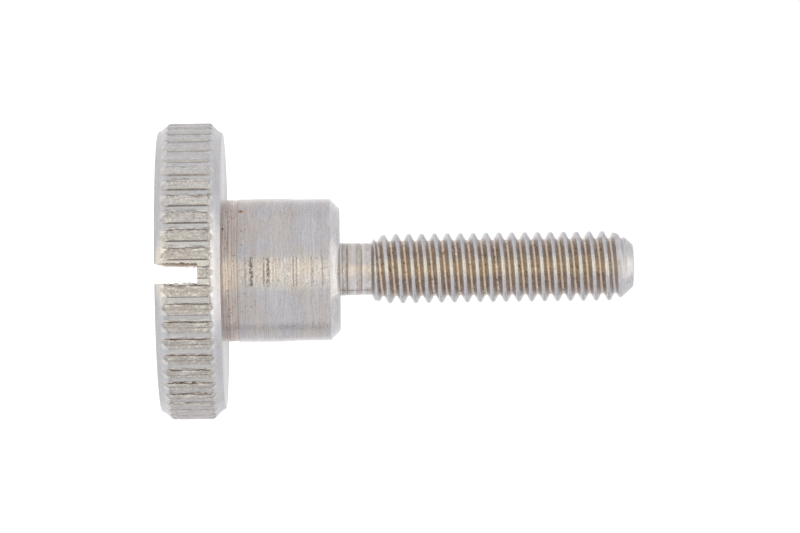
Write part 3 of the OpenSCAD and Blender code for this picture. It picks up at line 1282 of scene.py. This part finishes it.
def wrinkled_crests(f, colour):
    """Lays the rough crests over the smooth metal, with painted highlights and painted shade."""
    # Painted light: the crests are lighter towards negative x, darker in the middle, and a little
    # lighter again beyond x 6.5 mm.
    lit = f.math("MULTIPLY_ADD", f.step(-4.2, -1.0, f.x), -0.28, 1.22)
    lit = f.math("MULTIPLY_ADD", f.step(4.5, 6.5, f.x), 0.12, lit)
    rough = f.shade(crest_steel, lit, f.vary(f.speck, 0.36), f.vary(f.coarse, 0.14))
    bright = f.step(0.56, 0.68, f.grain(7.5, detail=2.0, shift=12.0))
    dark = f.step(0.56, 0.72, f.grain(6.0, detail=3.0, shift=15.0))
    shown = f.math("MULTIPLY_ADD", f.step(-0.5, 1.5, f.x), -0.45, 1.0)
    folds = f.all_of(f.wrinkled, shown, f.step(0.52, 0.66, f.wrinkle))
    ridges = f.all_of(f.wrinkled, f.step(0.46, 0.34, f.wrinkle))
    return f.coats(colour,
                   (f.crest, 0.92, rough),
                   (f.all_of(f.crest, bright), 0.6, grain_glint),
                   (f.all_of(f.crest, dark), 0.5, dark_grain),
                   (folds, 0.7, fold_shade),
                   (ridges, 0.6, ridge_highlight))


print("crest section:", crest_section)

# %% [markdown]
# ## Dirt, painted shade and painted light on the rim
# Dirt lies under the steep walls, in the torn lips and in one crease of each crest, and these crevices
# are darkened with painted shade as well, more on one side of the rim than on the other. Towards the
# outline on two sides of the rim the colour is painted lighter to cancel the shade of the grooves, and
# the dark lines fade out there. Each kind of line is a short curve once round a tooth: 0 where the
# metal is clean, 1 in the middle of the line.

# %% Dirt, painted shade and painted light
wall_line = [(0.0, 0.0), (0.83, 0.0), (0.85, 1.0), (0.875, 1.0), (0.9, 0.0), (1.0, 0.0)]
torn_line = [(0.0, 0.0), (0.188, 0.0), (0.208, 1.0), (0.238, 1.0), (0.258, 0.0), (1.0, 0.0)]
fine_tears = [(0.0, 0.0), (0.08, 0.0), (0.1, 0.8), (0.125, 0.0), (0.36, 0.0), (0.38, 0.55), (0.4, 0.0),
              (1.0, 0.0)]
crease_line = [(0.0, 0.0), (0.47, 0.0), (0.5, 1.0), (0.52, 1.0), (0.56, 0.0), (1.0, 0.0)]
shaded_floor = [(0.0, 1.0), (0.18, 0.7), (0.28, 0.0), (0.88, 0.0), (0.91, 1.0), (1.0, 1.0)]
lit_side_wall_line = [(0.0, 0.0), (0.76, 0.0), (0.81, 1.0), (0.87, 1.0), (0.89, 0.0), (1.0, 0.0)]
lit_side_crest = (0.49, 0.48, 0.485)
lit_side_floor = (0.55, 0.535, 0.54)
lit_side_wall = (0.36, 0.35, 0.35)
wall_dirt_and_shade = (0.20, 0.15, 0.125)
crease_dirt_and_shade = (0.24, 0.175, 0.145)


def dirt_in_the_knurl(f, colour):
    """Lays the painted lighter sides and the lines of dirt and painted shade over the rim."""
    # Painted light: towards the outline on both sides the rim is painted lighter, and the dark lines are
    # kept only elsewhere.
    painted_light_area = f.any_of([f.step(-4.7, -5.9, f.x), f.math("MULTIPLY", f.step(6.4, 7.6, f.x), 0.7)])
    kept = f.math("MULTIPLY_ADD", painted_light_area, -0.95, 1.0)
    broken = f.step(0.36, 0.56, f.grain(2.6, detail=3.0, shift=21.0))
    # The dark lines are dirt with painted shade, and their strength changes with x.
    in_shade = f.step(-1.0, 2.5, f.x)
    shaded_wall = f.math("MULTIPLY_ADD", f.step(-1.0, 1.0, f.x), -0.58, 0.68)
    wall = f.all_of(f.curve(f.along, wall_line), f.grooved, shaded_wall)
    main_strength = f.math("MULTIPLY_ADD", in_shade, 0.5, 0.45)
    fine_strength = f.math("MULTIPLY_ADD", in_shade, -0.42, 0.5)
    main_tear = f.all_of(f.curve(f.wandering, torn_line), main_strength)
    fine_tear = f.all_of(f.curve(f.wandering, fine_tears), fine_strength)
    torn = f.all_of(f.math("ADD", main_tear, fine_tear), f.grooved,
                    f.math("MULTIPLY_ADD", broken, 0.45, 0.58))
    crease = f.all_of(f.curve(f.wandering, crease_line), f.grooved,
                      f.math("MULTIPLY_ADD", broken, 0.4, 0.35), f.step(0.5, 2.0, f.x))
    # The painted lighter colour of the sides, with a brighter floor to cancel the shade of the grooves.
    varied = f.blend(f.curve(f.along, shaded_floor), lit_side_crest, lit_side_floor)
    varied = f.coats(varied, (f.curve(f.along, lit_side_wall_line), 0.7, lit_side_wall))
    varied = f.shade(varied, f.vary(f.speck, 0.22), f.vary(f.wrinkle, 0.3))
    return f.coats(colour,
                   (f.all_of(painted_light_area, f.grooved), 0.8, varied),
                   (wall, kept, wall_dirt_and_shade),
                   (crease, kept, crease_dirt_and_shade),
                   (torn, kept, brown_dirt_and_shade))


dirt_lines = [wall_line, torn_line, fine_tears, crease_line]
print("dirt lies in", len(dirt_lines), "kinds of line")

# %% [markdown]
# ## The knurled rim
# The three layers go over each other in this order: smooth metal, torn crests, then dirt with painted
# light and shade. The bump then raises the grains of the crests and the folds between them.

# %% Knurled metal
def knurled_finish():
    """Smooth grooves and lands, wrinkled crests, and dirt with painted shade along the walls and the
    torn lips.
    """
    f = RimFinish("knurled_metal")
    colour = dirt_in_the_knurl(f, wrinkled_crests(f, smooth_metal(f)))
    roughness = f.math("MULTIPLY_ADD", f.crest, 0.12, 0.32)
    grains = f.math("MULTIPLY_ADD", f.coarse, 0.6, f.speck)
    grit = f.math("MULTIPLY", f.crest, f.math("SUBTRACT", grains, 0.8))
    folds = f.math("MULTIPLY", f.wrinkled, f.math("SUBTRACT", f.wrinkle, 0.5))
    rings = f.math("MULTIPLY", f.math("SUBTRACT", 1.0, f.crest), f.land_lines)
    normal = f.bump(0.045, f.math("ADD", grit, folds), under=f.bump(0.008, rings))
    f.finish(colour, roughness, normal)


knurled_finish()

# %% [markdown]
# ## The neck
# The undercut behind the thread was turned with a narrow tool in a few plunges. Each plunge left its
# own tone, and dirt has settled in the scores between them. The burnished and the stained rings are
# lists again, with heights counted up from the collar's end.

# %% Neck metal
neck_low = collar_end / MM
burnished_rings = [(0.05, 0.05, 0.8), (0.65, 0.2, 0.3), (1.28, 0.1, 1.0)]
stained_rings = [(0.24, 0.14, 0.9), (1.04, 0.16, 0.9), (1.56, 0.22, 1.0)]
plunged_steel = (0.50, 0.465, 0.445)
clean_plunge = (0.60, 0.59, 0.59)
settled_dirt = (0.27, 0.20, 0.155)
warm_tarnish = (0.50, 0.44, 0.39)
burnished_steel = (0.61, 0.61, 0.62)
neck_stain = (0.40, 0.345, 0.31)
scratch_dirt = (0.2, 0.17, 0.15)


def on_neck(rings):
    """Moves rings from the neck's own heights to heights above the slotted face."""
    return [(neck_low + at, width, strength) for at, width, strength in rings]


def neck_finish():
    """A few plunges of a narrow tool, with dirt in the scores."""
    f = Finish("neck_metal", anisotropy=0.7)
    fine = f.lines(12.0, 8.0)
    plunge = f.lines(2.6, 12.0, detail=1.0, shift=3.0)
    speck = f.grain(9.0, detail=2.0)
    colour = f.blend(f.step(0.4, 0.6, plunge), plunged_steel, clean_plunge)
    colour = f.shade(colour, f.vary(fine, 0.25), f.vary(speck, 0.2))
    scores = f.rings(on_neck([(at, 1.3 * wide, 1.0) for at, wide, _ in neck_scores]))
    settled = f.all_of(scores, f.step(0.25, 0.6, f.grain(5.0, detail=2.0, shift=9.0)))
    warm = f.step(0.45, 0.62, f.grain(2.4, detail=2.0, shift=5.0))
    mottled = f.all_of(f.rings(on_neck(stained_rings)), f.step(0.3, 0.6, f.grain(5.0, shift=13.0)))
    scratch = f.all_of(f.between(f.x, 1.12, 1.16, 0.02), f.step(-0.4, -0.6, f.y))
    # Painted shade in the corners where the neck meets the thread and the collar.
    shade_by_thread = f.step(neck_low + 1.68, neck_low + 1.71, f.height)
    shade_by_collar = f.step(neck_low + 0.06, neck_low + 0.02, f.height)
    colour = f.coats(colour,
                     (settled, 0.7, settled_dirt),
                     (warm, 0.5, warm_tarnish),
                     (f.rings(on_neck(burnished_rings)), 0.6, burnished_steel),
                     (mottled, 0.7, neck_stain),
                     (scratch, 0.6, scratch_dirt),
                     (f.any_of([shade_by_thread, shade_by_collar]), 0.5, brown_dirt_and_shade))
    roughness = f.math("MULTIPLY_ADD", fine, 0.2, 0.2)
    normal = f.bump(0.012, fine, under=f.bump(0.010, speck))
    f.finish(colour, roughness, normal)


neck_finish()

# %% [markdown]
# ## The thread
# The die rubs the crests bright, and oil, dirt and brown tarnish stay on the flanks below them. At
# the very root the chip has cleaned a thin line. All three are rings of the radius. The point's cone
# and the sloping start were turned before the thread, so their steel is pale like the crests. On the
# front the crests carry a painted highlight and the flanks painted gold glints. Towards the outline on
# both sides the flanks are painted pale grey: a painted grazing reflection over thinner tarnish.

# %% Metal of the crests, the flanks and the point
thread_start = neck_end / MM
crest_pale = (0.44, 0.433, 0.447)
crest_highlight = (0.64, 0.62, 0.56)
flank_brown = (0.40, 0.325, 0.28)
flank_tan = (0.50, 0.40, 0.31)
flank_grey = (0.57, 0.545, 0.545)
gold_highlight = (0.66, 0.56, 0.40)
root_steel = (0.52, 0.47, 0.43)
point_steel = (0.50, 0.49, 0.495)


def thread_metal(f, crest, point, speck, fine):
    """The colours of the thread, before the small marks."""
    coarse = f.grain(2.0, detail=2.0, shift=3.0)
    root = f.step(1.515, 1.5, f.radius)
    # Towards the outline on both sides the flanks are painted pale grey: painted reflection, with
    # thinner tarnish.
    side = f.step(1.1, 1.65, f.math("ABSOLUTE", f.x))
    # On the front: painted gold glints on the flanks and a painted highlight on the crests.
    off_middle = f.math("ABSOLUTE", f.math("ADD", f.x, 0.1))
    front = f.all_of(f.step(0.75, 0.25, off_middle), f.step(-0.8, -1.2, f.y))
    gold_glints = f.all_of(front, f.step(0.35, 0.6, f.lines(9.0, 1.2, shift=23.0)))
    brown = f.blend(f.step(0.4, 0.62, coarse), flank_brown, flank_tan)
    brown = f.coats(brown, (side, 0.8, flank_grey), (gold_glints, 0.6, gold_highlight))
    brown = f.shade(brown, f.vary(speck, 0.5), f.vary(fine, 0.28))
    pale = f.shade(crest_pale, f.vary(speck, 0.3), f.vary(coarse, 0.12))
    pale = f.coats(pale, (front, 0.55, f.shade(crest_highlight, f.vary(speck, 0.3))))
    cone = f.shade(point_steel, f.vary(fine, 0.3), f.vary(speck, 0.14))
    return f.coats(brown, (crest, 1.0, pale), (root, 0.8, root_steel), (point, 1.0, cone))


print("thread starts", round(thread_start, 2), "mm above the slotted face")

# %% [markdown]
# ## Small marks on the thread
# Bright chips and dark grime lie on the flanks, and small nicks on the crests. Each is a noise that
# shows only where it is strongest, kept to its own part of the thread by a mask.

# %% Thread metal
chip_steel = (0.78, 0.72, 0.62)
nick_dirt = (0.3, 0.27, 0.25)


def thread_finish():
    """Pale crests, brown flanks and a thin bright root."""
    f = Finish("thread_metal", anisotropy=0.5)
    speck = f.grain(8.0, detail=3.0)
    fine = f.lines(14.0, 6.0)
    crest_edge = f.math("ADD", f.radius, f.vary(f.grain(6.0, shift=7.0), 0.05))
    lowered = f.step(thread_start + 0.5, thread_start + 0.3, f.height)
    crest = f.step(2.755, 2.81, f.math("MULTIPLY_ADD", lowered, 0.2, crest_edge))
    cone_height = f.math("MULTIPLY_ADD", f.radius, -0.3, f.math("ADD", f.height, 0.5))
    point = f.step(24.45, 24.8, cone_height)
    flank = f.math("SUBTRACT", 1.0, f.any_of([crest, point]))
    chips = f.all_of(flank, f.step(0.60, 0.68, f.grain(6.5, detail=2.0, shift=11.0)))
    grime = f.all_of(flank, f.step(0.60, 0.70, f.grain(4.5, detail=3.0, shift=15.0)))
    nicks = f.all_of(crest, f.step(0.66, 0.74, f.grain(5.0, detail=2.0, shift=19.0)))
    colour = f.coats(thread_metal(f, crest, point, speck, fine),
                     (chips, 0.7, chip_steel),
                     (grime, 0.75, black_dirt),
                     (nicks, 0.5, nick_dirt))
    roughness = f.math("MULTIPLY_ADD", flank, 0.08, f.math("MULTIPLY_ADD", speck, 0.15, 0.22))
    roughness = f.math("MULTIPLY_ADD", point, 0.08, roughness)
    normal = f.bump(0.016, speck, under=f.bump(0.006, fine))
    f.finish(colour, roughness, normal)


thread_finish()

# %% [markdown]
# ## The slotted face and the tip
# Both flat ends were faced: the tool moved towards the axis while the bar turned, so its rings lie
# in the plane of the face. `lines` counts the radius as well as the height, so the same noise works.

# %% Faced metal
def faced_finish():
    """Concentric rings of a facing cut, with handling marks."""
    f = Finish("faced_metal", anisotropy=0.6)
    fine = f.lines(9.0, 12.0)
    feed = f.lines(3.0, 25.0, detail=1.0, shift=3.0)
    speck = f.grain(7.0, detail=2.0)
    patch = f.grain(0.5, detail=3.0, shift=5.0)
    colour = f.blend(f.step(0.42, 0.6, patch), cool_steel, warm_steel)
    colour = f.shade(colour, 1.12, f.vary(fine, 0.25), f.vary(feed, 0.1), f.vary(speck, 0.12))
    grime = f.all_of(f.step(0.56, 0.72, patch), f.step(0.5, 0.65, speck))
    colour = f.blend(f.math("MULTIPLY", grime, 0.5), colour, stained_steel)
    roughness = f.math("MULTIPLY_ADD", speck, 0.18, 0.22)
    normal = f.bump(0.012, fine, under=f.bump(0.008, speck))
    f.finish(colour, roughness, normal)


faced_finish()

# %% [markdown]
# ## The sawn slot
# A slitting saw leaves shallow curved scratches along the walls. Oil and dirt collect in the slot,
# so its steel is browner than the rest, and its torn lower edge is nearly black in places.

# %% Sawn metal
def sawn_finish():
    """Saw scratches and brown dirt."""
    f = Finish("sawn_metal", anisotropy=0.0)
    along_slot = f.join(f.x, f.math("DIVIDE", f.y, 9.0), f.height)
    scratch = f.add("ShaderNodeTexNoise", {"Vector": along_slot, "Scale": 9.0, "Detail": 3.0})
    speck = f.grain(7.0, detail=3.0)
    patch = f.grain(1.6, detail=2.0, shift=5.0)
    colour = f.blend(f.step(0.43, 0.57, patch), (0.98, 0.91, 0.84), (0.48, 0.35, 0.255))
    colour = f.shade(colour, f.vary(scratch, 0.3), f.vary(speck, 0.3))
    rim = f.step(7.45, 7.9, f.radius)
    grime = f.all_of(rim, f.step(0.48, 0.62, f.grain(5.0, detail=3.0, shift=9.0)))
    colour = f.blend(f.math("MULTIPLY", grime, 0.8), colour, brown_dirt_and_shade)
    roughness = f.math("MULTIPLY_ADD", speck, 0.2, 0.32)
    normal = f.bump(0.02, scratch, under=f.bump(0.015, speck))
    f.finish(colour, roughness, normal)


sawn_finish()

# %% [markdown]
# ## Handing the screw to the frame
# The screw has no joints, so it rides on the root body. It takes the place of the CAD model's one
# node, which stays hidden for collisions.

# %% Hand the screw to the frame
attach(thumb_screw, "root")
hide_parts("thumb_screw")
print(thumb_screw.name, "rides on the root body")

# %% [markdown]
# ## Studio
# Polished steel shows what stands round it, so a metal thing is lit with large even surfaces, not
# with lamps. The floor and the cards are plain sheets that glow. The camera doesn't see the cards,
# but the steel does: a warm panel in front for the long highlight, darker gaps beside it for
# contrast, and a pale grey tent of light for everything else.

# %% Floor
def flat_card(name, corners, colour, strength):
    """A four-cornered sheet that glows evenly."""
    mesh = bpy.data.meshes.new(name)
    mesh.from_pydata(corners, [], [tuple(range(len(corners)))])
    card = bpy.data.objects.new(name, mesh)
    bpy.context.scene.collection.objects.link(card)
    glow = bpy.data.materials.new(name)
    glow.use_nodes = True
    shader = glow.node_tree.nodes["Principled BSDF"]
    shader.inputs["Base Color"].default_value = (0.0, 0.0, 0.0, 1.0)
    shader.inputs["Specular IOR Level"].default_value = 0.0
    shader.inputs["Emission Color"].default_value = (*colour, 1.0)
    shader.inputs["Emission Strength"].default_value = strength
    mesh.materials.append(glow)
    card.visible_camera = False
    card.visible_shadow = False
    return card


floor_half = 1.5
floor_corners = [(floor_half * x, floor_half * y, 0) for x, y in [(-1, -1), (1, -1), (1, 1), (-1, 1)]]
floor = flat_card("floor", floor_corners, (1.0, 1.0, 1.0), 0.98)
floor.visible_camera = True
floor_shader = floor.data.materials[0].node_tree.nodes["Principled BSDF"]
floor_shader.inputs["Base Color"].default_value = (0.2, 0.2, 0.2, 1.0)
print("the floor is", 2 * floor_half, "m square")

# %% Cards round the screw
middle_height = 13.03 * MM


def ring_card(name, azimuth, width, low, high, colour, strength, distance=0.7):
    """A card that stands round the screw, from one elevation to another, in degrees."""
    corners = []
    for turn, lift in [(-0.5, low), (0.5, low), (0.5, high), (-0.5, high)]:
        a = math.radians(azimuth)
        e = math.radians(lift)
        out = Vector((math.sin(a) * math.cos(e), -math.cos(a) * math.cos(e), math.sin(e)))
        side = Vector((math.cos(a), math.sin(a), 0))
        half = math.tan(math.radians(width / 2)) * turn * 2
        corners.append(tuple((out + side * half) * distance + Vector((0, 0, middle_height))))
    return flat_card(name, corners, colour, strength)


warm = (1.0, 0.95, 0.85)
nearly_white = (1.0, 0.97, 0.92)
dim = (0.9, 0.88, 0.92)
cool = (0.95, 0.95, 1.0)

# Each card: its name, its azimuth, its width, its lowest and its highest elevation, its light.
cards = [ring_card(*card) for card in [
    ("front_panel", 6, 48, -12, 14, warm, 1.82),
    ("gap_above", 6, 48, 14, 34, warm, 0.85),
    ("front_upper", 6, 48, 34, 60, warm, 1.0),
    ("top_panel", 6, 48, 60, 100, nearly_white, 1.88),
    ("side_strip", 106, 14, -12, 12, dim, 0.28),
    ("side_fill", 130, 32, -12, 12, cool, 0.8),
    ("far_side", -118, 44, -12, 12, cool, 0.88),
]]
print("cards:", ", ".join(card.name for card in cards))

# %% Light from the table, and the tent
# A bright strip lies on the table in front of the screw and widens away from it.
strip_left = -2.3 * MM
strip_right = 2.0 * MM
strip_height = 0.02 * MM
strip_end = -0.4
strip_spread = 40
flat_card("table_light", [(strip_left, -lower_face_radius, strip_height),
                          (strip_right, -lower_face_radius, strip_height),
                          (strip_spread * strip_right, strip_end, strip_height),
                          (strip_spread * strip_left, strip_end, strip_height)], warm, 1.5)

world = bpy.data.worlds.new("tent")
bpy.context.scene.world = world
world.use_nodes = True
tent = world.node_tree.nodes["Background"]
tent.inputs["Color"].default_value = (0.975, 0.975, 1.0, 1.0)
tent.inputs["Strength"].default_value = 1.06
bpy.context.scene.view_settings.view_transform = "Standard"
print("tent strength", round(tent.inputs["Strength"].default_value, 2))

# %% [markdown]
# ## Camera
# The camera looks level at the middle of the screw. It is turned on its side, so that the axis runs
# from left to right in the render, a little off level. The lens is worked out from the distance and
# from how many of the render's columns one metre covers, so either can be changed on its own.

# %% Camera
camera_distance = 293 * MM
columns_per_metre = 18.4 / MM
render_columns = 800
axis_rise = math.radians(0.77)
aim = Vector((-0.112 * MM, 0, middle_height))

camera_data = bpy.data.cameras.new("camera")
camera_data.sensor_width = 36
camera_data.lens = camera_data.sensor_width * columns_per_metre * camera_distance / render_columns
camera_data.clip_start = 0.01
camera_data.clip_end = 10
camera = bpy.data.objects.new("camera", camera_data)
bpy.context.scene.collection.objects.link(camera)
right = Vector((math.sin(axis_rise), 0, math.cos(axis_rise)))
up = Vector((-math.cos(axis_rise), 0, math.sin(axis_rise)))
back = right.cross(up)
camera.matrix_world = Matrix((
    (right.x, up.x, back.x, aim.x), (right.y, up.y, back.y, aim.y - camera_distance),
    (right.z, up.z, back.z, aim.z), (0, 0, 0, 1)))
bpy.context.scene.camera = camera
print("lens", round(camera_data.lens, 1), "mm at", camera_distance / MM, "mm from the axis")

# %% [markdown]
